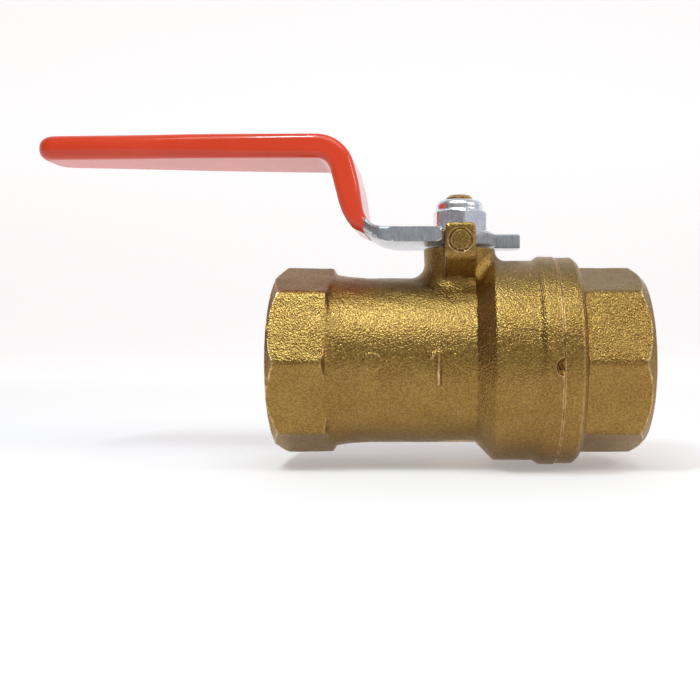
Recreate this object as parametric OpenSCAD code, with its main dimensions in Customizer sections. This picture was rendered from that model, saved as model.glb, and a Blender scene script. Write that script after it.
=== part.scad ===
// Two-piece brass ball valve for a 1 inch pipe, shown open, with a bent steel
// lever in a dipped vinyl sleeve. X runs along the pipe, Z along the stem, and
// the origin is the centre of the ball. Millimetres.

/* [Pipe ends] */
// Distance from the stem axis to each end face
half_length = 39; // [38.5:0.25:40]
// Across flats of the octagonal wrench ends
end_flats = 37.7; // [37.4:0.1:38.6]
// Crest diameter of the female pipe thread
thread_crest_d = 30.3; // [30.1:0.05:30.5]
// Depth of the female pipe thread
thread_depth = 16; // [15:0.25:16.5]

/* [Casing] */
// Outside diameter of the barrel
barrel_d = 35.8; // [35.6:0.1:36.4]
// Outside diameter of the ball chamber
chamber_d = 43.3; // [42.8:0.1:43.8]
// Outside diameter of the flange at the joint
flange_d = 45.2; // [44.8:0.1:46]
// Distance from the stem axis to the joint between body and end connector
joint_x = 20; // [19.8:0.1:20.5]
// Outside diameter of the stem neck
neck_d = 15.6; // [15.4:0.1:16]

/* [Ball and seats] */
// Diameter of the ball
ball_d = 30; // [29.8:0.05:30.2]
// Diameter of the passage through the ball
port_d = 20; // [19:0.25:20.4]

/* [Lever] */
// Thickness of the lever plate
plate_t = 3.2; // [3:0.1:3.4]
// Width of the lever plate where its arm meets the hub
arm_w = 18.8; // [18:0.2:19.2]
// Width of the lever plate at the tip
tip_w = 11; // [10:0.2:12]
// Distance from the stem axis to the tip of the sleeve
lever_reach = 90.9; // [80:0.1:110]
// Height of the grip's middle above the pipe axis, at the upper bend
grip_z = 45.2; // [43:0.2:50]
// How far the grip rises from the upper bend to its tip
grip_rise = 0.4; // [0:0.1:2]
// Thickness of the vinyl on the plate
sleeve_t = 0.95; // [0.7:0.05:1.1]
// Across flats of the lock nut
nut_flats = 11; // [10.8:0.1:11.2]

/* [Hidden] */
$fn = 96;
eps = 0.01;

// Pipe ends
end_corner_r = end_flats / 2 / cos(22.5);
inlet_rim_r = 18.5;
outlet_rim_r = 18;
mouth_r = 16.9;
waterway_r = 10.8;

// Casing, along X unless the name says otherwise
inlet_collar_x = -28.3;
chamber_x = 6.9;
flange_x = 17.2;
cavity_r = ball_d / 2 + 0.6;
nose_r = 18.95;
nose_x = 9.5;
gasket_t = 0.8;
connector_hex_x = 25.7;

// Seats
seat_back_x = 13;
seat_front_x = 8;
seat_r = 14.1;
seat_clearance = 0.05;

// Heights along the stem axis
neck_top_z = 24.3;
collar_bottom_z = 15.3;
collar_top_z = 17;
washer_top_z = 18;
packing_bottom_z = 20;
ring_pitch = 0.85;
ring_ridge = 0.35;
gland_bottom_z = packing_bottom_z + 3 * ring_pitch;
plate_z = 24.8;
plate_top_z = plate_z + plate_t;
slot_floor_z = 11.5;

// Stem
shank_r = 4;
stem_collar_r = 5.9;
packing_r = 6;
bore_clearance = 0.05;
shaft_gap = 0.08;
tang_t = 4.9;
tang_w = 9;
stem_flats = 5.3;
thread_r = 3.5;
tip_r = 2.6;
stem_top_z = plate_top_z + 8;

// Stop lug on the front of the neck
lug_w = 6.3;
lug_face_y = -13;
lug_top_z = 28.8;
stop_gap = 0.15;

// Lever outline
hub_r = 7.8;
ear_y = -12.5;
ear_x = -16;
tail_x = 13.6;
tip_corner_r = 3.7;
waist_x = -57;
waist_w = 16.3;
shoulder_x = -20.5;
bend_r = 5.6;
root_inner_r = 5.5;
root_outer_r = 11.6;
riser_top_x = -25.85;
riser_bottom_x = -21.05;
sleeve_end_x = -20;

// Lock nut
nut_turn = 39;
nut_hex_h = 4.6;
nut_h = 6.9;
nut_collar_r = 5.2;
insert_r = 4.3;
insert_z = 5;

// ---------- helpers ----------

function unit(v) = v / norm(v);

function xy(p) = [p[0], p[1]];

// Points of an arc of radius r tangent to both sides of corner p, or p itself for r 0.
function corner(a, p, b, r, steps = 6) =
    r == 0 ? [p] :
    let (
        u = unit(a - p),
        v = unit(b - p),
        half = acos(u * v) / 2,
        c = p + unit(u + v) * r / sin(half),
        s = p + u * r / tan(half) - c,
        e = p + v * r / tan(half) - c,
        from = atan2(s[1], s[0]),
        sweep = (atan2(e[1], e[0]) - from + 540) % 360 - 180
    )
    [for (i = [0:steps]) c + r * [cos(from + sweep * i / steps), sin(from + sweep * i / steps)]];

// A closed outline from points [x, y, corner radius].
function rounded(points) =
    let (n = len(points))
    [for (i = [0:n - 1])
        each corner(xy(points[(i + n - 1) % n]), xy(points[i]), xy(points[(i + 1) % n]), points[i][2])];

// An open polyline moved sideways by d, with mitred corners.
function beside(line, d) =
    let (
        n = len(line),
        sides = [for (i = [0:n - 2])
            let (u = unit(line[i + 1] - line[i])) [-u[1], u[0]]]
    )
    [for (i = [0:n - 1])
        let (a = sides[max(0, i - 1)], b = sides[min(n - 2, i)])
        line[i] + d * (a + b) / (1 + a * b)];

function reversed(list) = [for (i = [len(list) - 1:-1:0]) list[i]];

// Turns a shape made along Z so that it lies along the pipe.
module along_pipe() {
    rotate([0, 90, 0])
        children();
}

// Revolves an outline of [radius, x] points round the pipe axis.
module turned_on_pipe(points) {
    along_pipe()
        rotate_extrude()
            polygon(points);
}

// An octagonal prism round the pipe axis, with corners at the top and the sides.
module octagon_bar(from_x, to_x) {
    translate([from_x, 0, 0])
        along_pipe()
            cylinder(r = end_corner_r, h = to_x - from_x, $fn = 8);
}

// A straight hole round the stem axis.
module stem_hole(r, from_z, to_z) {
    translate([0, 0, from_z])
        cylinder(r = r, h = to_z - from_z);
}

// A ring round the stem axis.
module stem_ring(inner_r, outer_r, from_z, to_z) {
    difference() {
        stem_hole(outer_r, from_z, to_z);
        stem_hole(inner_r, from_z - 1, to_z + 1);
    }
}

// Round bar with two flats, the section that drives the lever.
module double_d(r, flats) {
    intersection() {
        circle(r = r);
        square([flats, 4 * r], center = true);
    }
}

// ---------- casing ----------

module body_skin() {
    barrel_r = barrel_d / 2;
    chamber_r = chamber_d / 2;
    turned_on_pipe(rounded([
        [0, inlet_collar_x, 0],
        [end_corner_r - 1.8, inlet_collar_x + 1.6, 0],
        [barrel_r + 0.5, inlet_collar_x + 2.5, 1.5],
        [barrel_r, inlet_collar_x + 8, 0],
        [barrel_r, chamber_x - 4, 1],
        [chamber_r, chamber_x, 1],
        [chamber_r, flange_x - 2.2, 1],
        [flange_d / 2, flange_x, 1],
        [flange_d / 2, joint_x, 0],
        [0, joint_x, 0]
    ]));
}

// The wrench end with its turned chamfer and the slope down to the barrel.
module inlet_wrench_end() {
    chamfer = end_corner_r - inlet_rim_r;
    slope = 2.4;
    intersection() {
        octagon_bar(-half_length, inlet_collar_x + slope);
        turned_on_pipe([
            [0, -half_length],
            [inlet_rim_r, -half_length],
            [end_corner_r, -half_length + chamfer],
            [end_corner_r, inlet_collar_x],
            [end_corner_r - 2.2, inlet_collar_x + slope],
            [0, inlet_collar_x + slope]
        ]);
    }
}

// The stop that the lever's shoulders meet, with the gusset under it.
module stop_lug() {
    face_z = 25.2;
    difference() {
        translate([-lug_w / 2, 0, 0])
            rotate([90, 0, 90])
                linear_extrude(lug_w)
                    polygon(rounded([
                        [-6, 16.5, 0],
                        [-9.2, 18.4, 0.8],
                        [lug_face_y, 21.9, 0.8],
                        [lug_face_y, lug_top_z, 0.8],
                        [-hub_r - 0.4, lug_top_z, 0.5],
                        [-hub_r - 0.4, neck_top_z, 0],
                        [-6, neck_top_z, 0]
                    ]));
        translate([0, lug_face_y + 0.2, face_z])
            rotate([90, 0, 0])
                difference() {
                    cylinder(r = 2.5, h = 1);
                    cylinder(r = 2.2, h = 3, center = true);
                }
    }
}

// The raised nominal size on the front of the barrel.
module size_mark() {
    raised = 0.35;
    intersection() {
        translate([-4.5, -barrel_d / 2 + 3, -1.1])
            rotate([90, 0, 0])
                linear_extrude(5)
                    polygon([
                        [-0.55, -3.5], [0.55, -3.5], [0.55, 3.5],
                        [-0.2, 3.5], [-1.5, 2.5], [-1.1, 1.8], [-0.55, 2.2]
                    ]);
        turned_on_pipe([
            [0, -10], [barrel_d / 2 + raised, -10], [barrel_d / 2 + raised, 5], [0, 5]
        ]);
    }
}

module body_passages() {
    crest_r = thread_crest_d / 2;
    run_out_x = -half_length + thread_depth;
    turned_on_pipe([
        [0, -half_length - 1],
        [mouth_r + 1, -half_length - 1],
        [crest_r, -half_length - 1 + mouth_r + 1 - crest_r],
        [crest_r, run_out_x],
        [waterway_r, run_out_x + 4.4],
        [waterway_r, -seat_back_x],
        [seat_r + bore_clearance, -seat_back_x],
        [seat_r + bore_clearance, -seat_front_x - 0.6],
        [cavity_r, -seat_front_x - 0.6],
        [cavity_r, nose_x - gasket_t],
        [nose_r + bore_clearance, nose_x - gasket_t],
        [nose_r + bore_clearance, joint_x + 1],
        [0, joint_x + 1]
    ]);
    stem_hole(stem_collar_r + 0.2, 0, washer_top_z);
    stem_hole(shank_r + shaft_gap, 0, neck_top_z + 1);
    stem_hole(packing_r, packing_bottom_z, neck_top_z + 1);
}

module valve_body() {
    stake_r = 2.2;
    color([0.72, 0.54, 0.26])
        difference() {
            union() {
                body_skin();
                inlet_wrench_end();
                stem_hole(neck_d / 2, 10, neck_top_z);
                stop_lug();
                size_mark();
            }
            body_passages();
            translate([joint_x, -flange_d / 2 + 0.6, 0])
                rotate([90, 0, 0])
                    cylinder(r = stake_r, h = 3);
        }
}

module connector_skin() {
    ring_r = flange_d / 2 - 0.2;
    chamfer = end_corner_r - outlet_rim_r;
    turned_on_pipe([
        [0, joint_x],
        [ring_r, joint_x],
        [ring_r, joint_x + 3.3],
        [end_corner_r - 0.2, connector_hex_x],
        [0, connector_hex_x]
    ]);
    intersection() {
        octagon_bar(joint_x + 1, half_length);
        turned_on_pipe([
            [0, joint_x + 1],
            [end_corner_r, joint_x + 1],
            [end_corner_r, half_length - chamfer],
            [outlet_rim_r, half_length],
            [0, half_length]
        ]);
    }
    turned_on_pipe([
        [0, nose_x],
        [nose_r - 0.6, nose_x],
        [nose_r, nose_x + 0.6],
        [nose_r, joint_x + eps],
        [0, joint_x + eps]
    ]);
}

module end_connector() {
    crest_r = thread_crest_d / 2;
    run_out_x = half_length - thread_depth;
    color([0.74, 0.55, 0.27])
        difference() {
            connector_skin();
            turned_on_pipe([
                [0, nose_x - 1],
                [seat_r + bore_clearance, nose_x - 1],
                [seat_r + bore_clearance, seat_back_x],
                [waterway_r, seat_back_x],
                [waterway_r, run_out_x - 4.4],
                [crest_r, run_out_x],
                [crest_r, half_length + 1 - (mouth_r + 1 - crest_r)],
                [mouth_r + 1, half_length + 1],
                [0, half_length + 1]
            ]);
        }
}

module joint_gasket() {
    color([0.9, 0.9, 0.88])
        turned_on_pipe([
            [cavity_r + 0.3, nose_x - gasket_t],
            [nose_r - 0.1, nose_x - gasket_t],
            [nose_r - 0.1, nose_x],
            [cavity_r + 0.3, nose_x]
        ]);
}

// ---------- ball and seats ----------

// The slot lies across the passage, so that a closed ball can float onto its seat.
module ball() {
    color([0.85, 0.86, 0.88])
        difference() {
            sphere(d = ball_d);
            along_pipe()
                cylinder(d = port_d, h = 2 * ball_d, center = true);
            translate([-tang_t / 2 - 0.1, -ball_d, slot_floor_z])
                cube([tang_t + 0.2, 2 * ball_d, ball_d]);
        }
}

// side is -1 at the inlet and 1 at the outlet.
module seat_ring(side) {
    inner_r = port_d / 2 + 0.4;
    color([0.95, 0.95, 0.93])
        difference() {
            turned_on_pipe([
                [inner_r, side * seat_front_x],
                [seat_r, side * seat_front_x],
                [seat_r, side * seat_back_x],
                [inner_r, side * seat_back_x]
            ]);
            sphere(r = ball_d / 2 + seat_clearance);
        }
}

module inlet_seat_ring() {
    seat_ring(-1);
}

module outlet_seat_ring() {
    seat_ring(1);
}

// ---------- stem and its seals ----------

module stem() {
    color([0.8, 0.62, 0.3])
        union() {
            intersection() {
                translate([-tang_t / 2, -tang_w / 2, slot_floor_z + 0.2])
                    cube([tang_t, tang_w, collar_bottom_z - slot_floor_z]);
                stem_hole(tang_w / 2, slot_floor_z, collar_top_z);
            }
            stem_hole(stem_collar_r, collar_bottom_z, collar_top_z - bore_clearance);
            stem_hole(shank_r, collar_top_z - 1, plate_z);
            translate([0, 0, plate_z - 1])
                linear_extrude(plate_t + 1)
                    double_d(shank_r, stem_flats);
            intersection() {
                stem_hole(thread_r - bore_clearance, plate_top_z, stem_top_z);
                rotate_extrude()
                    polygon([
                        [0, plate_z], [thread_r, plate_z], [thread_r, stem_top_z - 0.9],
                        [tip_r, stem_top_z], [0, stem_top_z]
                    ]);
            }
        }
}

module stem_thrust_washer() {
    color([0.95, 0.95, 0.93])
        stem_ring(shank_r + bore_clearance, stem_collar_r, collar_top_z, washer_top_z);
}

// One ring of the packing set, between two ridged faces. lift_low and lift_high
// say how far each face rises at its middle.
module packing_ring(level, lift_low, lift_high) {
    low_z = packing_bottom_z + level * ring_pitch;
    inner_r = shank_r + bore_clearance;
    outer_r = packing_r - bore_clearance;
    middle_r = (inner_r + outer_r) / 2;
    color([0.95, 0.95, 0.93])
        rotate_extrude()
            polygon([
                [inner_r, low_z],
                [middle_r, low_z + lift_low],
                [outer_r, low_z],
                [outer_r, low_z + ring_pitch],
                [middle_r, low_z + ring_pitch + lift_high],
                [inner_r, low_z + ring_pitch]
            ]);
}

module packing_base_ring() {
    packing_ring(0, 0, ring_ridge);
}

module packing_v_ring() {
    packing_ring(1, ring_ridge, ring_ridge);
}

module packing_top_ring() {
    packing_ring(2, ring_ridge, 0);
}

// Screwed into the top of the neck, with two slots for a pin spanner.
module gland_nut() {
    slot_w = 1.6;
    color([0.8, 0.62, 0.3])
        difference() {
            stem_ring(shank_r + shaft_gap, packing_r - bore_clearance, gland_bottom_z, neck_top_z);
            translate([-packing_r, -slot_w / 2, neck_top_z - 0.9])
                cube([2 * packing_r, slot_w, 2]);
        }
}

// ---------- lever ----------

// Side view of the bent strip, as [x, z], for a strip of thickness t.
module strip_profile(t, from_x, to_x) {
    slope = grip_rise / (lever_reach + riser_top_x);
    extra = (t - plate_t) / 2;
    middle = [
        [from_x, grip_z + slope * (riser_top_x - from_x)],
        [riser_top_x, grip_z],
        [riser_bottom_x, plate_z + plate_t / 2],
        [to_x, plate_z + plate_t / 2]
    ];
    top = beside(middle, t / 2);
    bottom = beside(middle, -t / 2);
    polygon(concat(
        [top[0]],
        corner(top[0], top[1], top[2], bend_r + t / 2, 10),
        corner(top[1], top[2], top[3], root_inner_r - extra, 10),
        [top[3]],
        reversed(concat(
            [bottom[0]],
            corner(bottom[0], bottom[1], bottom[2], bend_r - t / 2, 10),
            corner(bottom[1], bottom[2], bottom[3], root_outer_r + extra, 10),
            [bottom[3]]
        ))
    ));
}

module strip_in_side_view(t, from_x, to_x) {
    rotate([90, 0, 0])
        linear_extrude(60, center = true)
            strip_profile(t, from_x, to_x);
}

// Plan of the arm, grown by extra on each side. It widens from the tip to the hub.
module arm_plan(extra, to_x) {
    tip_x = -lever_reach + sleeve_t - extra;
    tip_y = tip_w / 2 + extra;
    waist_y = waist_w / 2 + extra;
    root_y = arm_w / 2 + extra;
    polygon(rounded([
        [tip_x, -tip_y, tip_corner_r + extra],
        [waist_x, -waist_y, 60],
        [shoulder_x, -root_y, 0],
        [to_x, -root_y, 0],
        [to_x, root_y, 0],
        [shoulder_x, root_y, 0],
        [waist_x, waist_y, 60],
        [tip_x, tip_y, tip_corner_r + extra]
    ]));
}

// Plan of the hub: the ear whose end is the open stop, and the tail whose front
// edge is the closed stop.
module hub_plan() {
    stop_x = -lug_w / 2 - stop_gap;
    stop_y = lug_w / 2 + stop_gap;
    root_y = arm_w / 2;
    circle(r = hub_r);
    polygon(rounded([
        [shoulder_x, -root_y, 0],
        [ear_x, ear_y, 2],
        [stop_x, ear_y, 0.8],
        [stop_x, stop_y, 0],
        [tail_x, stop_y, 0.4],
        [tail_x, root_y, 1.5],
        [shoulder_x, root_y, 0]
    ]));
}

module lever_plate() {
    difference() {
        intersection() {
            strip_in_side_view(plate_t, -lever_reach - 1, tail_x + 1);
            linear_extrude(80)
                union() {
                    arm_plan(0, shoulder_x + 1);
                    hub_plan();
                }
        }
        translate([0, 0, plate_z - 1])
            linear_extrude(plate_t + 2)
                double_d(shank_r + bore_clearance, stem_flats + 2 * bore_clearance);
    }
}

module handle_lever() {
    color([0.72, 0.73, 0.75])
        lever_plate();
}

module handle_sleeve() {
    color([0.85, 0.2, 0.1])
        difference() {
            intersection() {
                strip_in_side_view(plate_t + 2 * sleeve_t, -lever_reach - 1, 0);
                linear_extrude(80)
                    arm_plan(sleeve_t, sleeve_end_x);
            }
            lever_plate();
        }
}

// ---------- lock nut ----------

module lock_nut() {
    corner_r = nut_flats / 2 / cos(30);
    rim_r = nut_flats / 2 - 0.1;
    wide_r = corner_r + 1;
    edge = 0.45 * (wide_r - rim_r) / (corner_r - rim_r);
    color([0.78, 0.8, 0.83])
        translate([0, 0, plate_top_z])
            difference() {
                union() {
                    intersection() {
                        rotate([0, 0, nut_turn])
                            cylinder(r = corner_r, h = nut_hex_h, $fn = 6);
                        rotate_extrude()
                            polygon([
                                [0, 0], [rim_r, 0], [wide_r, edge],
                                [wide_r, nut_hex_h - edge], [rim_r, nut_hex_h],
                                [0, nut_hex_h]
                            ]);
                    }
                    rotate_extrude()
                        polygon(rounded([
                            [0, nut_hex_h - 1, 0],
                            [nut_collar_r, nut_hex_h - 1, 0],
                            [nut_collar_r, nut_h, 1],
                            [0, nut_h, 0]
                        ]));
                }
                translate([0, 0, -1])
                    cylinder(r = thread_r, h = nut_h + 2);
                translate([0, 0, insert_z])
                    cylinder(r = insert_r, h = nut_h);
            }
}

module nut_insert_ring() {
    color([0.93, 0.94, 0.95])
        stem_ring(thread_r - bore_clearance, insert_r - bore_clearance,
            plate_top_z + insert_z, plate_top_z + nut_h - 0.4);
}

valve_body();
end_connector();
ball();
inlet_seat_ring();
outlet_seat_ring();
joint_gasket();
stem();
stem_thrust_washer();
packing_base_ring();
packing_v_ring();
packing_top_ring();
gland_nut();
handle_lever();
handle_sleeve();
lock_nut();
nut_insert_ring();
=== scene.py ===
"""A 1 inch brass ball valve with a red vinyl lever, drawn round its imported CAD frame.

Each visible piece is a signed distance in millimetres, negative inside the material,
and contour() turns it into a mesh. Meshes, lights and camera are in the frame's metres.
"""

import bmesh
import bpy
import numpy as np
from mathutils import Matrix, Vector


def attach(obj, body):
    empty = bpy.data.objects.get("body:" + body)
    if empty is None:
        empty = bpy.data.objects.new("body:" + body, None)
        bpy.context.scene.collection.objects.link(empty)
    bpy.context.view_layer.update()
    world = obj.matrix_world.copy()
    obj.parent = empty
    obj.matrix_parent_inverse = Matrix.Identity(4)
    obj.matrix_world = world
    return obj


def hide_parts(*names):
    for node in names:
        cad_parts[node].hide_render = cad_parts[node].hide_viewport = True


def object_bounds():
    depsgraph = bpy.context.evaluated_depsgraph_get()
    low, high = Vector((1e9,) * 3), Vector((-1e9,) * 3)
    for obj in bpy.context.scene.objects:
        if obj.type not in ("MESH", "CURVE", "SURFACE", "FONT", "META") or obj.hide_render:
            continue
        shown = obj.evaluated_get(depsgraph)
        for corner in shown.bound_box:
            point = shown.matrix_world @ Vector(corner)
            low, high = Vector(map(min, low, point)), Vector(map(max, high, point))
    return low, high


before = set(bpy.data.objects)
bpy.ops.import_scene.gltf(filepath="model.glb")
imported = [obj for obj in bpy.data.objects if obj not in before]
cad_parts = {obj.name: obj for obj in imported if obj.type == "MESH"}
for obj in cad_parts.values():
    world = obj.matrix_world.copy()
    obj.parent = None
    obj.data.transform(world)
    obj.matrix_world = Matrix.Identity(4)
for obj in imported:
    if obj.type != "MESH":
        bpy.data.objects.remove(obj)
cad_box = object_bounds()

MM = 0.001

# ---------- dimensions in millimetres, as in the CAD ----------

HALF_LENGTH = 39.0
END_FLATS = 37.7
INLET_RIM_R = 18.5
OUTLET_RIM_R = 18.0
MOUTH_R = 16.9
CREST_R = 15.15
ROOT_R = 16.62
PIPE_PITCH = 2.309
THREAD_END = HALF_LENGTH - 16.0
CONE_LENGTH = 4.4
WATERWAY_R = 10.8
SEAT_R = 14.15
SEAT_BACK = 13.0
SEAT_FRONT = 8.6
CAVITY_R = 15.6
NOSE_R = 18.95
NOSE_X = 9.5
GASKET_X = 8.7
JOINT_X = 20.0
BARREL_R = 17.9
CHAMBER_R = 21.65
FLANGE_R = 22.6
CONNECTOR_FLANGE_R = 22.4
NECK_R = 7.8
NECK_TOP = 24.3
PACKING_R = 6.0
PACKING_Z = 20.0
SHANK_R = 4.0
SHANK_HOLE_R = 4.08
COLLAR_R = 5.9
LUG_HALF = 3.15
LUG_FACE = -13.0
LUG_TOP = 28.8
PLATE_Z = 24.8
PLATE_T = 3.2
PLATE_TOP = PLATE_Z + PLATE_T
GRIP_Z = 45.2
GRIP_RISE = 0.4
LEVER_REACH = 90.9
TIP_HALF_W = 5.5
WAIST_HALF_W = 8.15
ROOT_HALF_W = 9.4
TIP_CORNER_R = 3.7
WAIST_X = -57.0
SHOULDER_X = -20.5
SLEEVE_T = 0.95
SLEEVE_END = -20.0
RISER_TOP_X = -25.85
RISER_BOTTOM_X = -21.05
BEND_R = 5.6
ROOT_INNER_R = 5.5
ROOT_OUTER_R = 11.6
HUB_R = 7.8
TAIL_X = 13.6
EAR_Y = -12.5
STOP = 3.3
STEM_FLATS = 5.3
STEM_THREAD_R = 3.3
STEM_PITCH = 1.0
TIP_R = 2.35
STEM_TOP = PLATE_TOP + 8.0
NUT_FLATS = 11.0
NUT_HEX_H = 4.6
NUT_H = 6.9
NUT_COLLAR_R = 5.2
NUT_TURN = 39.0


# ---------- distance functions ----------

def join(a, b, r):
    """Union of a and b with a fillet of radius r between them."""
    return np.maximum(r, np.minimum(a, b)) - np.hypot(
        np.maximum(r - a, 0), np.maximum(r - b, 0)
    )


def meet(a, b, r):
    """What a and b share, with their common edge rounded to radius r."""
    return -join(-a, -b, r)


def arc_corner(a, p, b, r, steps=8):
    """Points of the arc of radius r that rounds corner p of the path a, p, b."""
    a, p, b = (np.array(q[:2], float) for q in (a, p, b))
    if r == 0:
        return [p]
    u = (a - p) / np.linalg.norm(a - p)
    v = (b - p) / np.linalg.norm(b - p)
    half = np.arccos(np.clip(u @ v, -1, 1)) / 2
    centre = p + (u + v) / np.linalg.norm(u + v) * r / np.sin(half)
    start = p + u * r / np.tan(half) - centre
    end = p + v * r / np.tan(half) - centre
    turn = np.arctan2(start[0] * end[1] - start[1] * end[0], start @ end)
    angles = np.arctan2(start[1], start[0]) + turn * np.linspace(0, 1, steps + 1)
    return [centre + r * np.array([np.cos(t), np.sin(t)]) for t in angles]


def rounded_path(points):
    """An open path through [x, y, corner radius] points."""
    path = [np.array(points[0][:2], float)]
    for a, p, b in zip(points, points[1:], points[2:]):
        path += arc_corner(a, p, b, p[2])
    return np.array(path + [np.array(points[-1][:2], float)])


def rounded_outline(points):
    """A closed outline through [x, y, corner radius] points."""
    path = []
    for i, p in enumerate(points):
        path += arc_corner(points[i - 1], p, points[(i + 1) % len(points)], p[2])
    return np.array(path)


def turned(x, r, points):
    """Signed distance, near enough, to a bar turned to [x, radius, corner radius] points."""
    path = rounded_path(points)
    run = np.diff(path[:, 0])
    rise = np.diff(path[:, 1])
    slope = np.clip(rise / np.maximum(run, 1e-6), -4, 4)
    middle = (path[1:, 0] + path[:-1, 0]) / 2
    lean = np.hypot(1, np.interp(x, middle, slope))
    return (r - np.interp(x, path[:, 0], path[:, 1])) / lean


def to_path(x, y, path):
    """Distance to an open path of straight runs."""
    found = np.inf
    for a, b in zip(path, path[1:]):
        run = b - a
        along = np.clip(((x - a[0]) * run[0] + (y - a[1]) * run[1]) / (run @ run), 0, 1)
        found = np.minimum(found, np.hypot(x - a[0] - along * run[0], y - a[1] - along * run[1]))
    return found


def to_outline(x, y, path):
    """Signed distance to a closed outline."""
    ring = np.vstack([path, path[:1]])
    outside = np.ones(np.broadcast(x, y).shape, bool)
    for a, b in zip(ring, ring[1:]):
        if a[1] == b[1]:
            continue
        crossed = (y >= min(a[1], b[1])) & (y < max(a[1], b[1]))
        outside ^= crossed & (x < a[0] + (y - a[1]) * (b[0] - a[0]) / (b[1] - a[1]))
    return np.where(outside, 1, -1) * to_path(x, y, ring)


def octagon(y, z, flats, edge_r):
    """Signed distance to an octagonal bar with corners at the top and the sides."""
    found = -np.inf
    for angle in np.radians([22.5, 67.5, 112.5, 157.5]):
        side = np.abs(y * np.cos(angle) + z * np.sin(angle)) - flats / 2
        found = side if np.ndim(found) == 0 else meet(found, side, edge_r)
    return found


def helix(x, angle, pitch):
    """Height from 0 to 1 of a right-handed thread's truncated tooth."""
    phase = (x / pitch - angle / (2 * np.pi)) % 1
    return np.clip(1.3 * np.abs(2 * phase - 1) - 0.15, 0, 1)


def die_waves(x, y, z):
    """A few hundredths of a millimetre of slow waviness, as forging dies leave it."""
    return 0.025 * (
        np.sin(0.83 * x + 0.41 * z) * np.sin(0.67 * y - 0.29 * x)
        + np.sin(0.37 * z + 1.13 * y) * np.sin(0.53 * x + 0.91 * z)
    )


# ---------- dual contouring ----------

def grid_lines(low, high, step, fine):
    """Grid lines a step apart, or closer in each (from, to, step) stretch of fine."""
    lines = [low - 2.37 * step]
    while lines[-1] < high + 2 * step:
        steps = [closer for a, b, closer in fine if a <= lines[-1] < b]
        lines.append(lines[-1] + min(steps + [step]))
    return np.array(lines)


def contour(distance, low, high, step, fine_x=(), fine_z=()):
    """Vertices and quads of the surface distance = 0 inside a box, with its sharp edges kept."""
    lines = [
        grid_lines(low[0], high[0], step, fine_x),
        grid_lines(low[1], high[1], step, ()),
        grid_lines(low[2], high[2], step, fine_z),
    ]
    inside = distance(lines[0][:, None, None], lines[1][None, :, None], lines[2][None, None, :]) < 0
    size = np.array(inside.shape)
    corners, normals, cells, forward = [], [], [], []
    for axis in range(3):
        ahead = np.eye(3, dtype=int)[axis]
        sides = np.eye(3, dtype=int)[[(axis + 1) % 3, (axis + 2) % 3]]
        near = tuple(slice(0, n - a) for n, a in zip(size, ahead))
        far = tuple(slice(a, n) for n, a in zip(size, ahead))
        at = np.argwhere(inside[near] != inside[far])
        begins_inside = inside[tuple(at.T)]
        start = np.stack([lines[k][at[:, k]] for k in range(3)], 1)
        run = np.diff(lines[axis])[at[:, axis], None] * ahead
        low_t, high_t = np.zeros(len(at)), np.ones(len(at))
        for _ in range(9):
            mid = (low_t + high_t) / 2
            same = (distance(*(start + mid[:, None] * run).T) < 0) == begins_inside
            low_t, high_t = np.where(same, mid, low_t), np.where(same, high_t, mid)
        point = start + ((low_t + high_t) / 2)[:, None] * run
        corners.append(point)
        normals.append(gradient(distance, point))
        around = [(0, 0), (1, 0), (1, 1), (0, 1)]
        cells.append(np.stack([at - a * sides[0] - b * sides[1] for a, b in around], 1))
        forward.append(begins_inside)
    corners, normals = np.vstack(corners), np.vstack(normals)
    cells, forward = np.vstack(cells), np.concatenate(forward)
    flat = (cells[..., 0] * size[1] + cells[..., 1]) * size[2] + cells[..., 2]
    used, faces = np.unique(flat, return_inverse=True)
    faces = faces.reshape(-1, 4)
    vertices = cell_points(used, faces, corners, normals, lines, size)
    faces[~forward] = faces[~forward][:, ::-1]
    return vertices, faces


def gradient(distance, point, reach=0.01):
    """Unit normals of a distance function at points."""
    slopes = []
    for offset in np.eye(3) * reach:
        slopes.append(distance(*(point + offset).T) - distance(*(point - offset).T))
    slopes = np.stack(slopes, 1)
    return slopes / np.maximum(np.linalg.norm(slopes, axis=1, keepdims=True), 1e-12)


def cell_points(used, faces, corners, normals, lines, size):
    """One vertex for each cell, where the tangent planes of its crossings meet."""
    def total(values):
        return np.bincount(faces.ravel(), np.repeat(values, 4), len(used))

    count = total(np.ones(len(corners)))
    mean = np.stack([total(corners[:, k]) / count for k in range(3)], 1)
    matrix = np.empty((len(used), 3, 3))
    for i in range(3):
        for k in range(3):
            matrix[:, i, k] = total(normals[:, i] * normals[:, k])
    reach = np.sum(normals * corners, 1)
    pull = np.stack([total(normals[:, k] * reach) for k in range(3)], 1)
    pull -= np.einsum("nij,nj->ni", matrix, mean)
    matrix += 0.05 * np.eye(3)
    vertices = mean + np.linalg.solve(matrix, pull[..., None])[..., 0]
    index = np.stack(np.unravel_index(used, size), 1)
    lowest = np.stack([lines[k][index[:, k]] for k in range(3)], 1)
    highest = np.stack([lines[k][index[:, k] + 1] for k in range(3)], 1)
    return np.clip(vertices, lowest, highest)


def on_relief(point, patches):
    """True on the outer front of the body, inside one of the ((x, x), (z, z)) patches."""
    outer = point.y < 0 and np.hypot(point.y, point.z) > BARREL_R - 0.4
    return outer and any(
        xs[0] < point.x < xs[1] and zs[0] < point.z < zs[1] for xs, zs in patches
    )


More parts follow.
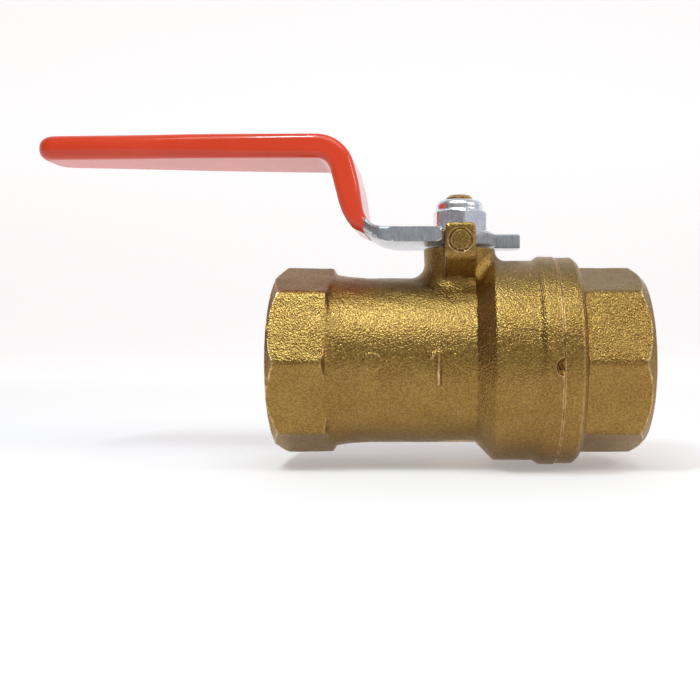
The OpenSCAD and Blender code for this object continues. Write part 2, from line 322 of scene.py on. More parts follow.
def refine(mesh, distance, patches, rounds=2):
    """Divides the faces that carry relief and moves the new points onto the surface."""
    fine = bmesh.new()
    fine.from_mesh(mesh)
    for _ in range(rounds):
        edges = set()
        for face in fine.faces:
            if on_relief(face.calc_center_median() / MM, patches):
                edges.update(face.edges)
        bmesh.ops.subdivide_edges(fine, edges=list(edges), cuts=1, use_grid_fill=True)
    moved = [v for v in fine.verts if on_relief(v.co / MM, patches)]
    points = np.array([v.co for v in moved]) / MM
    for _ in range(3):
        normals = gradient(distance, points)
        points -= normals * np.clip(distance(*points.T), -0.3, 0.3)[:, None]
    for v, point in zip(moved, points):
        v.co = point * MM
    fine.to_mesh(mesh)
    fine.free()


def add_wear(mesh, distance, reach=0.35):
    """Stores how sharply each point stands out (above 0) or lies in a corner (below 0)."""
    points = np.empty(len(mesh.vertices) * 3)
    mesh.vertices.foreach_get("co", points)
    points = points.reshape(-1, 3) / MM
    bend = -6 * distance(*points.T)
    for offset in np.eye(3) * reach:
        bend += distance(*(points + offset).T) + distance(*(points - offset).T)
    wear = mesh.attributes.new("wear", "FLOAT", "POINT")
    wear.data.foreach_set("value", (bend / reach).astype(np.float32))


def make_piece(name, body, node, distance, low, high, step, patches=(), **fine):
    """A mesh piece from a distance function, which replaces its CAD node and rides on its body."""
    vertices, faces = contour(distance, low, high, step, **fine)
    vertices = np.clip(vertices, low, high)
    mesh = bpy.data.meshes.new(name)
    mesh.from_pydata((vertices * MM).tolist(), [], faces.tolist())
    if patches:
        refine(mesh, distance, patches)
    add_wear(mesh, distance)
    mesh.shade_smooth()
    mesh.set_sharp_from_angle(angle=np.radians(32))
    piece = bpy.data.objects.new(name, mesh)
    bpy.context.scene.collection.objects.link(piece)
    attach(piece, body)
    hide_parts(node)
    return piece


# ---------- low relief on the front of the body ----------

def smooth(t):
    """A step from 0 to 1 as t goes from 0 to 1, with soft ends."""
    t = np.clip(t, 0, 1)
    return t * t * (3 - 2 * t)


# Centre lines of the numeral's upright and flag, as [x, z]
NUMERAL_UPRIGHT = np.array([[-4.45, -4.1], [-4.45, 2.2]])
NUMERAL_FLAG = np.array([[-5.2, 1.85], [-5.7, 1.3]])
NUMERAL_HEIGHT = 0.48
NUMERAL_HALF_W = 0.85

EJECTOR_X = -17.7
EJECTOR_Z = 0.3
EJECTOR_R = 1.65
EJECTOR_HEIGHT = 0.16
EJECTOR_RIM = 0.35

LUG_MARK_Z = 25.1
LUG_DISC_R = 1.95
LUG_DISC_HEIGHT = 0.12
LUG_DISC_RIM = 0.2
LUG_RING_R = 2.25
LUG_RING_DEPTH = 0.3
LUG_RING_HALF_W = 0.3

# Between the marks on the barrel and the mark on the lug
BARREL_RELIEF_TOP = 10

# The (x, x), (z, z) stretches that hold the numeral, ejector mark, lug mark and stake
RELIEF_PATCHES = [
    ((-6.8, -3.3), (-5.2, 3.2)),
    ((-20.1, -15.3), (-2.1, 2.7)),
    ((-3.4, 3.4), (21.2, 29.2)),
    ((17.6, 20.2), (-3.0, 2.0)),
]


def size_numeral(x, z):
    """A plain raised 1, the nominal size in inches."""
    near = np.minimum(to_path(x, z, NUMERAL_UPRIGHT), to_path(x, z, NUMERAL_FLAG))
    return NUMERAL_HEIGHT * np.cos(np.pi / 2 * np.minimum(near / NUMERAL_HALF_W, 1)) ** 2


def ejector_mark(x, z):
    """A disc that an ejector pin left a little proud."""
    far = np.hypot(x - EJECTOR_X, z - EJECTOR_Z)
    return EJECTOR_HEIGHT * (1 - smooth((far - EJECTOR_R) / EJECTOR_RIM))


def lug_mark(x, z):
    """A ring cut round a low disc on the stop lug."""
    far = np.hypot(x, z - LUG_MARK_Z)
    disc = LUG_DISC_HEIGHT * (1 - smooth((far - LUG_DISC_R) / LUG_DISC_RIM))
    ring = LUG_RING_DEPTH * (1 - smooth(np.abs(far - LUG_RING_R) / LUG_RING_HALF_W))
    return disc - ring


def front_relief(x, z):
    """How far all the marks stand out of the body's front."""
    on_barrel = size_numeral(x, z) + ejector_mark(x, z)
    return np.where(z < BARREL_RELIEF_TOP, on_barrel, lug_mark(x, z))


# ---------- castings ----------

def thread_hole(x, y, z):
    """Signed distance to the empty space of both female pipe threads, mouths and cones."""
    r = np.hypot(y, z)
    deep = np.abs(x)
    fade = np.clip((deep - THREAD_END) / PIPE_PITCH, 0, 1)
    tooth = (ROOT_R - CREST_R) * helix(x, np.arctan2(z, y), PIPE_PITCH) * fade
    mouth = MOUTH_R - (HALF_LENGTH - deep)
    cone = WATERWAY_R + (CREST_R - WATERWAY_R) * np.clip(
        (deep - THREAD_END + CONE_LENGTH) / CONE_LENGTH, 0, 1
    )
    return r - np.maximum(cone + tooth, mouth)


INLET_DRAFT = 0.03
INLET_EDGE_R = 0.6
SLOPE_X = -27.7
SLOPE_R = 20.2
SLOPE_STEEPNESS = 1.9

# The body's outside without its octagon, as [x, radius, corner radius]. The chamber
# starts with a 45 degree cone, and the joint's edge is broken by a small chamfer.
CHAMBER_CONE_X = 3.3
JOINT_CHAMFER = 0.12
BODY_OUTSIDE = [
    [-HALF_LENGTH - 1, 18.6, 0],
    [-26.8, 18.6, 0],
    [-24, 18.2, 4],
    [-20, BARREL_R, 8],
    [CHAMBER_CONE_X, BARREL_R, 0.7],
    [CHAMBER_R - BARREL_R + CHAMBER_CONE_X, CHAMBER_R, 0.9],
    [15.5, CHAMBER_R + 0.1, 0.5],
    [16.9, FLANGE_R, 0.6],
    [JOINT_X - JOINT_CHAMFER, FLANGE_R, 0],
    [JOINT_X + 1, FLANGE_R - 1 - JOINT_CHAMFER, 0],
]

LUG_UNDER_Z = 21.9
LUG_UNDER_RUN = 3.8
LUG_UNDER_RISE = 3.5
LUG_BACK_Y = -8.2
LUG_ROOT_Y = -6

NECK_FILLET = 3.0
NECK_FILLET_LOSS = 0.8
NECK_FILLET_FROM_X = -2
NECK_FILLET_RUN = 8
STAKE_R = 2.2
UNDER_NECK_TOP = 18

# The connector's flange, octagon edge and nose
CONNECTOR_CHAMFER = 0.2
CONNECTOR_FLANGE_T = 4.9
CONNECTOR_EDGE = 1.0
CONNECTOR_EDGE_R = 0.7
NOSE_EDGE_R = 0.5


def inlet_octagon(x, y, z):
    """The inlet's wrench end, with its turned rim and the slope down to the barrel."""
    r = np.hypot(y, z)
    rim = (r - INLET_RIM_R - (x + HALF_LENGTH)) / np.sqrt(2)
    slope = ((x - SLOPE_X) * SLOPE_STEEPNESS + (r - SLOPE_R)) / np.hypot(SLOPE_STEEPNESS, 1)
    bar = octagon(y, z, END_FLATS - INLET_DRAFT * (x + HALF_LENGTH), INLET_EDGE_R)
    return np.maximum(np.maximum(meet(bar, slope, 0.3), rim), -HALF_LENGTH - x)


def body_skin(x, y, z):
    """The body's outside without its neck and lug."""
    barrel = turned(x, np.hypot(y, z), BODY_OUTSIDE)
    barrel = np.maximum(barrel, np.maximum(x - JOINT_X, -HALF_LENGTH - x))
    return join(barrel, inlet_octagon(x, y, z), 0.4)


def stop_lug(x, y, z):
    """The stop on the front of the neck, with its sloping underside."""
    under = (y - LUG_FACE) * -LUG_UNDER_RISE + (z - LUG_UNDER_Z) * -LUG_UNDER_RUN
    under /= np.hypot(LUG_UNDER_RISE, LUG_UNDER_RUN)
    behind = np.maximum(np.minimum(y - LUG_BACK_Y, z - NECK_TOP), y - LUG_ROOT_Y)
    front = meet(LUG_FACE - y, under, 0.8)
    top = meet(z - LUG_TOP, behind, 0.5)
    sides = np.abs(x) - LUG_HALF
    return meet(meet(sides, top, 1.1), front, 0.7)


def ball(x, y, z, r):
    """Signed distance to a ball of radius r."""
    return np.sqrt(x * x + y * y + z * z) - r


def valve_body(x, y, z):
    """The body with its neck, lug, marks, ball chamber, thread and stem hole."""
    r = np.hypot(y, z)
    around_stem = np.hypot(x, y)
    neck = meet(around_stem - NECK_R, z - NECK_TOP, 0.4)
    neck = np.maximum(neck, -z)
    across = np.clip((x - NECK_FILLET_FROM_X) / NECK_FILLET_RUN, 0, 1)
    fillet = NECK_FILLET - NECK_FILLET_LOSS * across
    outside = join(body_skin(x, y, z), neck, fillet)
    outside = join(outside, stop_lug(x, y, z), 0.7) + die_waves(x, y, z)
    outside -= np.where(y < 0, front_relief(x, z), 0)
    outside = np.maximum(outside, np.maximum(x - JOINT_X, -HALF_LENGTH - x))
    stake = ball(x - JOINT_X - 0.3, y + FLANGE_R + 1.0, z + 0.5, STAKE_R)
    chamber = np.where(x < -SEAT_BACK, 0, np.where(x < -SEAT_FRONT, SEAT_R, CAVITY_R))
    chamber = r - np.where(x > GASKET_X, NOSE_R + 0.05, chamber)
    half_top = UNDER_NECK_TOP / 2
    under_neck = np.maximum(around_stem - COLLAR_R - 0.2, np.abs(z - half_top) - half_top)
    packing = np.maximum(around_stem - PACKING_R, PACKING_Z - z)
    stem_hole = np.minimum(np.maximum(around_stem - SHANK_HOLE_R, -z), packing)
    empty = np.minimum(np.minimum(chamber, thread_hole(np.minimum(x, 0), y, z)), under_neck)
    empty = np.minimum(np.minimum(empty, stem_hole), stake)
    return np.maximum(outside, -empty)


def end_connector(x, y, z):
    """The connector with its flange, octagon, nose, seat pocket and thread."""
    r = np.hypot(y, z)
    right_x = JOINT_X + CONNECTOR_FLANGE_T
    left_edge = (r - CONNECTOR_FLANGE_R + CONNECTOR_CHAMFER + JOINT_X - x) / np.sqrt(2)
    right_edge = (r - CONNECTOR_FLANGE_R + x - right_x + CONNECTOR_EDGE) / np.sqrt(2)
    ring = meet(meet(r - CONNECTOR_FLANGE_R, right_edge, 0.25), x - right_x, 0.2)
    ring = np.maximum(np.maximum(ring, left_edge), JOINT_X - x)
    rim = (r - OUTLET_RIM_R - (HALF_LENGTH - x)) / np.sqrt(2)
    bar = np.maximum(octagon(y, z, END_FLATS, CONNECTOR_EDGE_R), JOINT_X + 1 - x)
    outside = join(ring, np.maximum(bar, rim), 0.7) + die_waves(y, x, z)
    outside = np.maximum(outside, np.maximum(x - HALF_LENGTH, JOINT_X - x))
    nose = meet(r - NOSE_R, NOSE_X - x, NOSE_EDGE_R)
    solid = np.minimum(outside, np.maximum(nose, x - JOINT_X - 1))
    pocket = np.maximum(r - SEAT_R, x - SEAT_BACK)
    return np.maximum(solid, -np.minimum(pocket, thread_hole(np.maximum(x, 0), y, z)))


# ---------- lever ----------

def beside(line, d):
    """An open path moved sideways by d, with mitred corners."""
    run = np.diff(line, axis=0)
    side = np.stack([-run[:, 1], run[:, 0]], 1) / np.linalg.norm(run, axis=1, keepdims=True)
    before = np.vstack([side[:1], side])
    after = np.vstack([side, side[-1:]])
    return line + d * (before + after) / (1 + np.sum(before * after, 1, keepdims=True))


def lever_profile():
    """Side view of the strip with both its bends, as a closed [x, z] outline."""
    slope = GRIP_RISE / (LEVER_REACH + RISER_TOP_X)
    tip_x = -LEVER_REACH - 5
    middle = np.array([
        [tip_x, GRIP_Z + slope * (RISER_TOP_X - tip_x)],
        [RISER_TOP_X, GRIP_Z],
        [RISER_BOTTOM_X, PLATE_Z + PLATE_T / 2],
        [30, PLATE_Z + PLATE_T / 2],
    ])
    top = np.column_stack([
        beside(middle, PLATE_T / 2), [0, BEND_R + PLATE_T / 2, ROOT_INNER_R, 0]
    ])
    bottom = np.column_stack([
        beside(middle, -PLATE_T / 2), [0, BEND_R - PLATE_T / 2, ROOT_OUTER_R, 0]
    ])
    return rounded_outline(np.vstack([top, bottom[::-1]]))


LEVER_PROFILE = lever_profile()

# Seen from above, as [x, y, corner radius]. The hub has the stop ear at the front, whose
# end is the open stop, and the tail, whose front edge is the closed stop.
ARM_PLAN = rounded_outline([
    [-LEVER_REACH + SLEEVE_T, -TIP_HALF_W, TIP_CORNER_R], [WAIST_X, -WAIST_HALF_W, 60],
    [SHOULDER_X, -ROOT_HALF_W, 0], [0, -ROOT_HALF_W, 0], [0, ROOT_HALF_W, 0],
    [SHOULDER_X, ROOT_HALF_W, 0], [WAIST_X, WAIST_HALF_W, 60],
    [-LEVER_REACH + SLEEVE_T, TIP_HALF_W, TIP_CORNER_R],
])
HUB_PLAN = rounded_outline([
    [SHOULDER_X, -ROOT_HALF_W, 1], [-16.5, EAR_Y, 2.5], [-STOP, EAR_Y, 1.15],
    [-STOP, STOP, 0], [TAIL_X, STOP, 0.5], [TAIL_X, ROOT_HALF_W, 1.5],
    [SHOULDER_X, ROOT_HALF_W, 0],
])


EDGE_R = 0.3
SLEEVE_LAP = 0.35
SLEEVE_END_LOSS = 0.7
SLEEVE_END_RUN = 3
SLEEVE_END_LEAN = 0.14


def lever_plate(x, y, z):
    """The strip, with the edges that the punch rolled over at the hub, root, tail and ear."""
    strip = to_outline(x, z, LEVER_PROFILE)
    arm = np.maximum(to_outline(x, y, ARM_PLAN), x - SHOULDER_X - 1)
    plan = np.minimum(arm, join(np.hypot(x, y) - HUB_R, to_outline(x, y, HUB_PLAN), 0.3))
    hub_edge = smooth(x - 2) * smooth((8.5 - x) / 1.5) * (y < STOP)
    tail_edge = 0.25 * (x > 7) * (y < 5)
    ear_edge = 0.8 * smooth((x + 5) / 1.5) * (x < 0) * (y < -8)
    root_edge = 0.5 * smooth((-13 - x) / 3)
    on_top = np.maximum(np.maximum(hub_edge, tail_edge), root_edge) * (z > PLATE_Z + PLATE_T / 2)
    rolled = np.maximum(on_top, ear_edge)
    solid = meet(strip, plan, EDGE_R + rolled)
    hole = np.maximum(np.hypot(x, y) - SHANK_R - 0.05, np.abs(x) - STEM_FLATS / 2 - 0.05)
    return np.maximum(solid, -hole)


def handle_sleeve(x, y, z):
    """The dipped vinyl, thinning out where it ends in the lower bend."""
    from_end = x - SLEEVE_END - SLEEVE_END_LEAN * (z - PLATE_TOP)
    thickness = SLEEVE_T - SLEEVE_END_LOSS * smooth(1 + from_end / SLEEVE_END_RUN)
    skin = to_outline(x, z, LEVER_PROFILE) - thickness
    plan = to_outline(x, y, ARM_PLAN) - thickness
    edge_r = 1.5 + 0.8 * smooth((-35 - x) / 40)
    outside = meet(meet(skin, plan, edge_r), from_end, 0.1)
    return np.maximum(outside, -SLEEVE_LAP - lever_plate(x, y, z))


# ---------- stem and lock nut ----------

# The stem's lengths along its axis, each as (middle, half of the length)
TANG_SPAN = (13.5, 1.8)
COLLAR_SPAN = (16.125, 0.825)
SHANK_SPAN = (20, 4.8)
DRIVE_SPAN = (26, 2)
TANG_HALF_T = 2.45
TANG_R = 4.5
STEM_TOOTH = 0.6
# Scales the screw's distance down, because the thread's flanks are steep
STEM_THREAD_EASE = 0.7

# Just past the nut's corners
NUT_REACH = 6.4
NUT_TOP_R = 5.25
NUT_FOOT_R = 5.3
NUT_CONE_SLOPE = 1.7
NUT_EDGE_R = 0.15
NUT_CORNER_R = 0.5
NUT_COLLAR_EDGE_R = 1.5
NUT_BORE_R = 3.5
NUT_MOUTH_R = 3.9
NUT_MOUTH_Z = 6
# The groove that holds the nylon ring
POCKET_R = 4.3
POCKET_SPAN = (5.7, 0.7)


def between(z, span):
    """Signed distance to the slab that a (middle, half length) span stands for."""
    return np.abs(z - span[0]) - span[1]


def stem(x, y, z):
    """The stem's tang, collar, shank, drive flats and threaded end."""
    r = np.hypot(x, y)
    flats = np.abs(x) - STEM_FLATS / 2
    tang = np.maximum(np.maximum(np.abs(x) - TANG_HALF_T, r - TANG_R), between(z, TANG_SPAN))
    collar = meet(r - COLLAR_R, between(z, COLLAR_SPAN), 0.2)
    shank = np.maximum(r - SHANK_R, between(z, SHANK_SPAN))
    drive = np.maximum(np.maximum(r - SHANK_R, flats), between(z, DRIVE_SPAN))
    tooth = helix(z, np.arctan2(y, x), STEM_PITCH)
    screw = (r - STEM_THREAD_R + STEM_TOOTH * (1 - tooth)) * STEM_THREAD_EASE
    tip = (r - TIP_R - (STEM_TOP - z)) / np.sqrt(2)
    screw = np.maximum(np.maximum(screw, tip), np.maximum(z - STEM_TOP, PLATE_TOP - z))
    found = screw
    for part in (tang, collar, shank, drive):
        found = np.minimum(found, part)
    return found


def hexagon(x, y, flats, edge_r):
    """Signed distance to the nut's hexagon, turned as it was tightened."""
    found = -np.inf
    for angle in np.radians(NUT_TURN + np.array([30, 90, 150])):
        side = np.abs(x * np.cos(angle) + y * np.sin(angle)) - flats / 2
        found = side if np.ndim(found) == 0 else meet(found, side, edge_r)
    return found


def lock_nut(x, y, z):
    """The hexagon with coned ends, the collar above it, the bore and the ring's groove."""
    r = np.hypot(x, y)
    up = z - PLATE_TOP
    lean = np.hypot(1, NUT_CONE_SLOPE)
    top_cone = (r - NUT_TOP_R - (NUT_HEX_H - up) * NUT_CONE_SLOPE) / lean
    bottom_cone = (r - NUT_FOOT_R - up * NUT_CONE_SLOPE) / lean
    corners = hexagon(x, y, NUT_FLATS, NUT_CORNER_R)
    hexagonal = np.maximum(np.maximum(corners, -up), up - NUT_HEX_H)
    hexagonal = meet(meet(hexagonal, top_cone, NUT_EDGE_R), bottom_cone, NUT_EDGE_R)
    collar = meet(r - NUT_COLLAR_R, up - NUT_H, NUT_COLLAR_EDGE_R)
    solid = join(hexagonal, np.maximum(collar, 3 - up), 0.3)
    pocket = np.maximum(r - POCKET_R, between(up, POCKET_SPAN))
    mouth = np.maximum(r - NUT_MOUTH_R, NUT_MOUTH_Z - up)
    return np.maximum(solid, -np.minimum(np.minimum(r - NUT_BORE_R, pocket), mouth))


# ---------- materials ----------

class Nodes:
    """A short way to write one material's nodes. Sizes are given in millimetres."""

    def __init__(self, name):
        self.material = bpy.data.materials.new(name)
        self.material.use_nodes = True
        self.tree = self.material.node_tree
        self.shader = self.tree.nodes["Principled BSDF"]
        self.place = self.tree.nodes.new("ShaderNodeTexCoord").outputs["Object"]

    def add(self, kind, links=(), **values):
        node = self.tree.nodes.new(kind)
        for key, value in values.items():
            if hasattr(node, key):
                setattr(node, key, value)
            else:
                node.inputs[key].default_value = value
        for key, source in dict(links).items():
            self.tree.links.new(source, node.inputs[key])
        return node

    def noise(self, size_mm, detail=2.0, place=None, **values):
        node = self.add("ShaderNodeTexNoise", {"Vector": place or self.place}, **values)
        node.inputs["Scale"].default_value = 1 / (size_mm * MM)
        node.inputs["Detail"].default_value = detail
        return node.outputs["Fac"]

    def wear(self):
        """The wear attribute that add_wear() stores."""
        return self.add("ShaderNodeAttribute", attribute_name="wear").outputs["Fac"]

    def ramp(self, source, *stops):
        """Stops are (position, colour or grey)."""
        node = self.add("ShaderNodeValToRGB", {"Fac": source})
        ramp = node.color_ramp
        while len(ramp.elements) < len(stops):
            ramp.elements.new(0.5)
        for element, (position, colour) in zip(ramp.elements, stops):
            element.position = position
            grey = not hasattr(colour, "__len__")
            element.color = (colour, colour, colour, 1) if grey else (*colour, 1)
        return node.outputs["Color"]

    def math(self, operation, *values):
        node = self.tree.nodes.new("ShaderNodeMath")
        node.operation = operation
        for socket, value in zip(node.inputs, values):
            if hasattr(value, "links"):
                self.tree.links.new(value, socket)
            else:
                socket.default_value = value
        return node.outputs[0]

    def mix(self, factor, a, b, blend="MIX"):
        node = self.tree.nodes.new("ShaderNodeMix")
        node.data_type = "RGBA"
        node.blend_type = blend
        for name, value in (("Factor", factor), ("A", a), ("B", b)):
            socket = next(s for s in node.inputs if s.name == name and s.enabled)
            if hasattr(value, "links"):
                self.tree.links.new(value, socket)
            elif name == "Factor":
                socket.default_value = value
            else:
                socket.default_value = (*value, 1)
        return next(s for s in node.outputs if s.enabled)

    def bump(self, height, depth_mm, strength=1.0, normal=None):
        links = {"Height": height}
        if normal:
            links["Normal"] = normal
        node = self.add("ShaderNodeBump", links)
        if hasattr(strength, "links"):
            self.tree.links.new(strength, node.inputs["Strength"])
        else:
            node.inputs["Strength"].default_value = strength
        node.inputs["Distance"].default_value = depth_mm * MM
        return node.outputs["Normal"]

    def finish(self, colour=None, roughness=None, normal=None, **values):
        for socket, source in (("Base Color", colour), ("Roughness", roughness), ("Normal", normal)):
            if hasattr(source, "links"):
                self.tree.links.new(source, self.shader.inputs[socket])
            elif source is not None:
                value = (*source, 1) if socket == "Base Color" else source
                self.shader.inputs[socket].default_value = value
        for key, value in values.items():
            self.shader.inputs[key.replace("_", " ")].default_value = value
        return self.material


def cast_brass():
    """Shot-blasted brass: a fine hard grain, darker in random patches and worn on its edges."""
    n = Nodes("cast_brass")
    grain = n.noise(0.36, 1.0)
    pits = n.noise(0.9, 2.0)
    patches = n.noise(7.0, 2.0)
    edges = n.ramp(n.wear(), (0.5, 0.0), (0.95, 1.0))
    worn = n.math("MULTIPLY", edges, n.ramp(n.noise(1.6, 3.0), (0.4, 0.3), (0.6, 1.0)))
    brass = n.ramp(patches, (0.3, (0.345, 0.200, 0.054)), (0.7, (0.39, 0.238, 0.068)))
    brass = n.mix(1.0, brass, n.ramp(grain, (0.4, 0.66), (0.6, 1.0)), "MULTIPLY")
    colour = n.mix(worn, brass, (0.68, 0.46, 0.24))
    rough = n.mix(worn, n.ramp(pits, (0.3, 0.36), (0.7, 0.28)), (0.3, 0.3, 0.3))
    normal = n.bump(grain, 0.18, n.math("SUBTRACT", 1.0, n.math("MULTIPLY", worn, 0.6)))
    return n.finish(colour, rough, normal, Metallic=1.0)


def turned_brass():
    """Machined brass, with a very fine, shallow noise bump."""
    n = Nodes("turned_brass")
    colour = n.ramp(n.noise(4.0), (0.3, (0.60, 0.42, 0.20)), (0.7, (0.68, 0.49, 0.25)))
    rough = n.ramp(n.noise(1.2, 3.0), (0.3, 0.26), (0.7, 0.38))
    normal = n.bump(n.noise(0.15, 2.0), 0.01)
    return n.finish(colour, rough, normal, Metallic=1.0)


def zinc_plate():
    n = Nodes("zinc_plate")
    colour = n.ramp(n.noise(3.0), (0.3, (0.62, 0.64, 0.66)), (0.7, (0.74, 0.75, 0.76)))
    rough = n.ramp(n.noise(0.8, 4.0), (0.3, 0.24), (0.7, 0.4))
    normal = n.bump(n.noise(0.5, 3.0), 0.02)
    return n.finish(colour, rough, normal, Metallic=1.0)


def sheared_steel():
    """The torn grey edge of the strip, streaked across its thickness."""
    n = Nodes("sheared_steel")
    squash = n.add("ShaderNodeMapping", {"Vector": n.place}, vector_type="POINT")
    squash.inputs["Scale"].default_value = (1, 1, 0.25)
    streak = n.noise(0.35, 3.0, squash.outputs["Vector"])
    colour = n.ramp(streak, (0.3, (0.27, 0.275, 0.30)), (0.7, (0.42, 0.43, 0.46)))
    rough = n.ramp(streak, (0.3, 0.6), (0.7, 0.45))
    return n.finish(colour, rough, n.bump(streak, 0.08), Metallic=0.9)


def bright_zinc():
    n = Nodes("bright_zinc")
    colour = n.ramp(n.noise(1.5), (0.3, (0.76, 0.79, 0.84)), (0.7, (0.88, 0.90, 0.93)))
    rough = n.ramp(n.noise(0.6, 3.0), (0.3, 0.22), (0.7, 0.34))
    return n.finish(colour, rough, n.bump(n.noise(0.4, 2.0), 0.01), Metallic=1.0)


def red_vinyl():
    n = Nodes("red_vinyl")
    colour = n.ramp(n.noise(14.0), (0.3, (0.60, 0.044, 0.014)), (0.7, (0.67, 0.056, 0.019)))
    rough = n.ramp(n.noise(2.0, 3.0), (0.3, 0.09), (0.7, 0.14))
    normal = n.bump(n.noise(5.0, 2.0), 0.02)
    return n.finish(colour, rough, normal, IOR=1.45)


def white_seal():
    n = Nodes("white_seal")
    colour = n.ramp(n.noise(2.0), (0.3, (0.84, 0.84, 0.82)), (0.7, (0.9, 0.9, 0.88)))
    return n.finish(colour, 0.45, n.bump(n.noise(0.2), 0.01))


def clear_nylon():
    n = Nodes("nylon")
    colour = n.ramp(n.noise(1.0), (0.3, (0.78, 0.81, 0.86)), (0.7, (0.86, 0.88, 0.92)))
    return n.finish(colour, 0.35, n.bump(n.noise(0.3), 0.01))


def polished_chrome():
    n = Nodes("polished_chrome")
    colour = n.ramp(n.noise(5.0), (0.3, (0.80, 0.81, 0.82)), (0.7, (0.86, 0.87, 0.88)))
    rough = n.ramp(n.noise(0.7, 3.0), (0.3, 0.05), (0.7, 0.12))
    return n.finish(colour, rough, Metallic=1.0)


def paint(piece, slot, *materials):
    piece.data.materials.clear()
    for material in materials:
        piece.data.materials.append(material)


def paint_faces(piece, index, chosen):
    """Gives material number index to the faces where chosen(centres, normals) is true."""
    count = len(piece.data.polygons)
    centre, normal = np.empty(count * 3), np.empty(count * 3)
    piece.data.polygons.foreach_get("center", centre)
    piece.data.polygons.foreach_get("normal", normal)
    picked = chosen(centre.reshape(-1, 3) / MM, normal.reshape(-1, 3))
    numbers = np.empty(count, np.int32)
    piece.data.polygons.foreach_get("material_index", numbers)
    numbers[picked] = index
    piece.data.polygons.foreach_set("material_index", numbers)


FACING_AXIS = 0.99
DEEPEST_BORE_R = 17.3
CAVITY_TOP = 16
ROOT_BEND_X = -14


def is_machined(centre, normal):
    """End faces, the joint's faces and everything inside the bores."""
    x, y, z = centre.T
    r = np.hypot(y, z)
    outward = (normal[:, 1] * y + normal[:, 2] * z) / np.maximum(r, 1e-9)
    end_face = np.abs(normal[:, 0]) > FACING_AXIS
    bore = (r < DEEPEST_BORE_R) & (np.hypot(x, y) > NECK_R)
    stem_bore = (np.hypot(x, y) < PACKING_R + 0.3) & (z < NECK_TOP + 0.1)
    inner = (r < NOSE_R + 0.1) & (outward < 0.3) & (x > 0) & (z < CAVITY_TOP)
    return end_face | bore | stem_bore | inner


def is_sheared(centre, normal):
    """The strip's edges, whose normals lie in the plan, apart from the ear's rolled end."""
    x = centre[:, 0]
    ear_end = (normal[:, 0] > 0.5) & (x < 0)
    on_hub = (np.abs(normal[:, 2]) < 0.4) & ~ear_end
    return np.where(x > ROOT_BEND_X, on_hub, np.abs(normal[:, 1]) > 0.8)


# ---------- build ----------

# Grid steps, which keep each casting under 200,000 triangles
STEP = 0.44
BODY_STEP = 0.54

body = make_piece(
    "valve_body_casting", "casing", "valve_body", valve_body,
    (-HALF_LENGTH, -FLANGE_R, -FLANGE_R), (JOINT_X, FLANGE_R, LUG_TOP), BODY_STEP,
    RELIEF_PATCHES, fine_x=[(19.2, 20.1, 0.15)],
)
paint(body, "cast_brass", cast_brass(), turned_brass())
paint_faces(body, 1, is_machined)

connector = make_piece(
    "end_connector_casting", "casing", "end_connector", end_connector,
    (NOSE_X, -FLANGE_R, -FLANGE_R), (HALF_LENGTH, FLANGE_R, FLANGE_R), STEP,
    fine_x=[(19.7, 20.6, 0.15)],
)
paint(connector, "cast_brass", *body.data.materials)
paint_faces(connector, 1, is_machined)

plate = make_piece(
    "lever_strip", "lever", "handle_lever", lever_plate,
    (-LEVER_REACH, EAR_Y, PLATE_Z), (TAIL_X, ROOT_HALF_W, GRIP_Z + PLATE_T), 0.36,
)
paint(plate, "lever_steel", zinc_plate(), sheared_steel())
paint_faces(plate, 1, is_sheared)

sleeve = make_piece(
    "vinyl_sleeve", "lever", "handle_sleeve", handle_sleeve,
    (-LEVER_REACH, -ROOT_HALF_W - 1, PLATE_Z - 1), (-18.8, ROOT_HALF_W + 1, GRIP_Z + PLATE_T), 0.4,
    fine_x=[(-22.5, -19, 0.2)], fine_z=[(25, 33, 0.25)],
)
paint(sleeve, "red_vinyl", red_vinyl())

spindle = make_piece(
    "stem_spindle", "lever", "stem", stem,
    (-COLLAR_R, -COLLAR_R, TANG_SPAN[0] - TANG_SPAN[1]), (COLLAR_R, COLLAR_R, STEM_TOP), 0.18,
)
paint(spindle, "turned_brass", body.data.materials[1])

nut = make_piece(
    "nylon_lock_nut", "lever", "lock_nut", lock_nut,
    (-NUT_REACH, -NUT_REACH, PLATE_TOP), (NUT_REACH, NUT_REACH, PLATE_TOP + NUT_H), 0.2,
)
paint(nut, "plated_nut", bright_zinc())

seal = white_seal()
for name in (
    "inlet_seat_ring", "outlet_seat_ring", "joint_gasket", "stem_thrust_washer",
    "packing_base_ring", "packing_v_ring", "packing_top_ring",
):
    paint(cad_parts[name], "white_seal", seal)
paint(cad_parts["gland_nut"], "turned_brass", body.data.materials[1])
paint(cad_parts["nut_insert_ring"], "nylon", clear_nylon())
paint(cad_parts["ball"], "ball_chrome", polished_chrome())

# ---------- floor, light and camera ----------

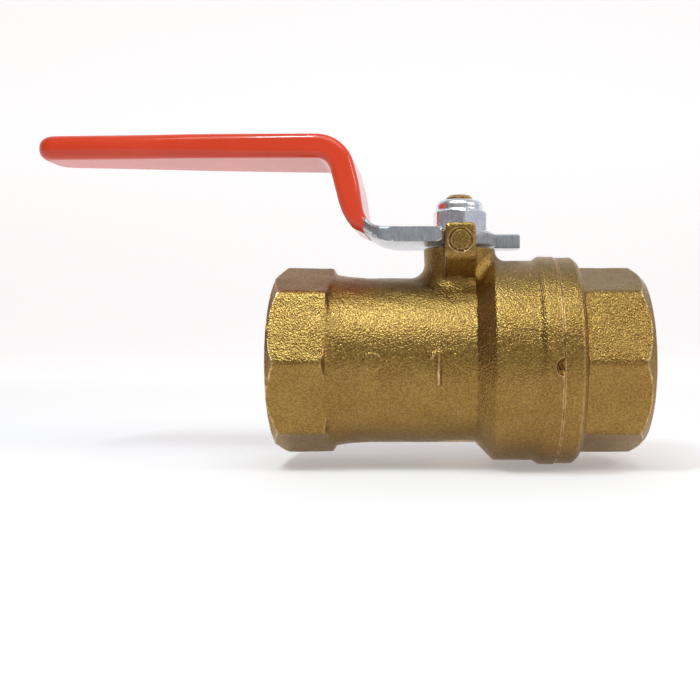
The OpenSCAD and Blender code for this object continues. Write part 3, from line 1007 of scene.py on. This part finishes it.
def make_backdrop(floor_z):
    """A pale sweep that curves up into a wall, painted to glow: its emission rises from dim at the
    front to bright at the back, in place of light from behind.
    """
    radius, width, front, back, height = 0.25, 2.5, -1.5, 0.55, 0.5
    path = [(front, floor_z), (-0.1, floor_z)]
    for t in np.linspace(0, np.pi / 2, 17):
        path.append((back + radius * np.sin(t), floor_z + radius * (1 - np.cos(t))))
    path.append((back + radius, floor_z + height))
    vertices = [(side * width, y, z) for y, z in path for side in (-1, 1)]
    faces = [(i, i + 1, i + 3, i + 2) for i in range(0, len(vertices) - 2, 2)]
    mesh = bpy.data.meshes.new("backdrop")
    mesh.from_pydata(vertices, [], faces)
    mesh.shade_smooth()
    backdrop = bpy.data.objects.new("backdrop", mesh)
    bpy.context.scene.collection.objects.link(backdrop)
    n = Nodes("backdrop")
    depth = n.add("ShaderNodeSeparateXYZ", {"Vector": n.place}).outputs["Y"]
    # Painted light: the sweep emits its own glow, stronger towards the back, instead of being lit
    # there by a lamp
    painted_back_glow = n.ramp(n.math("MULTIPLY_ADD", depth, 1.6, 0.5), (0.0, 0.08), (0.5, 0.3), (1.0, 0.6))
    n.tree.links.new(painted_back_glow, n.shader.inputs["Emission Color"])
    material = n.finish((0.72, 0.69, 0.685), 1.0, Specular_IOR_Level=0.0, Emission_Strength=1.0)
    mesh.materials.append(material)


def area_light(name, place, aim, size, watts, colour=(1, 1, 1)):
    """An oval light at place, facing aim."""
    data = bpy.data.lights.new(name, "AREA")
    data.shape = "ELLIPSE"
    data.size, data.size_y = size
    data.energy = watts
    data.color = colour
    light = bpy.data.objects.new(name, data)
    light.location = place
    light.rotation_euler = (Vector(aim) - Vector(place)).to_track_quat("-Z", "Y").to_euler()
    bpy.context.scene.collection.objects.link(light)


def make_world():
    """A dim room: mauve to the left, bluish to the right and white behind."""
    world = bpy.data.worlds.new("world")
    world.use_nodes = True
    nodes, links = world.node_tree.nodes, world.node_tree.links
    place = nodes.new("ShaderNodeTexCoord").outputs["Generated"]
    split = nodes.new("ShaderNodeSeparateXYZ")
    links.new(place, split.inputs["Vector"])
    side = nodes.new("ShaderNodeMapRange")
    side.inputs["From Min"].default_value = -1
    links.new(split.outputs["X"], side.inputs["Value"])
    ramp = nodes.new("ShaderNodeValToRGB")
    links.new(side.outputs["Result"], ramp.inputs["Fac"])
    ramp.color_ramp.elements.new(0.5)
    for element, colour in zip(
        ramp.color_ramp.elements, [(0.13, 0.11, 0.12), (0.34, 0.31, 0.30), (0.44, 0.46, 0.52)]
    ):
        element.color = (*colour, 1)
    behind = nodes.new("ShaderNodeMapRange")
    behind.interpolation_type = "SMOOTHSTEP"
    behind.inputs["From Min"].default_value = 0.0
    behind.inputs["From Max"].default_value = 0.7
    links.new(split.outputs["Y"], behind.inputs["Value"])
    mix = nodes.new("ShaderNodeMix")
    mix.data_type = "RGBA"
    links.new(behind.outputs["Result"], mix.inputs[0])
    links.new(ramp.outputs["Color"], mix.inputs[6])
    mix.inputs[7].default_value = (0.82, 0.85, 0.92, 1)
    links.new(mix.outputs[2], nodes["Background"].inputs["Color"])
    bpy.context.scene.world = world


def make_camera():
    """A level camera in front of the valve, as the photograph was taken."""
    data = bpy.data.cameras.new("camera")
    data.sensor_width = 36
    data.lens = 43.29
    data.shift_x = -0.1357
    data.shift_y = -0.0347
    data.clip_start = 0.01
    camera = bpy.data.objects.new("camera", data)
    camera.location = (-3.2 * MM, -185 * MM, 7.5 * MM)
    camera.rotation_euler = (np.pi / 2, 0, 0)
    bpy.context.scene.collection.objects.link(camera)
    bpy.context.scene.camera = camera


make_backdrop(cad_box[0].z)
make_world()
area_light("soft", (-0.03, -0.155, 0.28), (-0.02, 0, 0.01), (0.34, 0.2), 0.5, (0.84, 1.0, 1.04))
area_light("lamp", (-0.098, -0.15, 0.28), (-0.02, 0, 0.02), (0.014, 0.1), 0.3, (0.86, 1.0, 1.04))
area_light("side", (0.26, -0.14, 0.2), (0, 0, 0), (0.14, 0.14), 0.28, (1.0, 0.88, 0.76))
bpy.context.scene.view_settings.view_transform = "Standard"
make_camera()
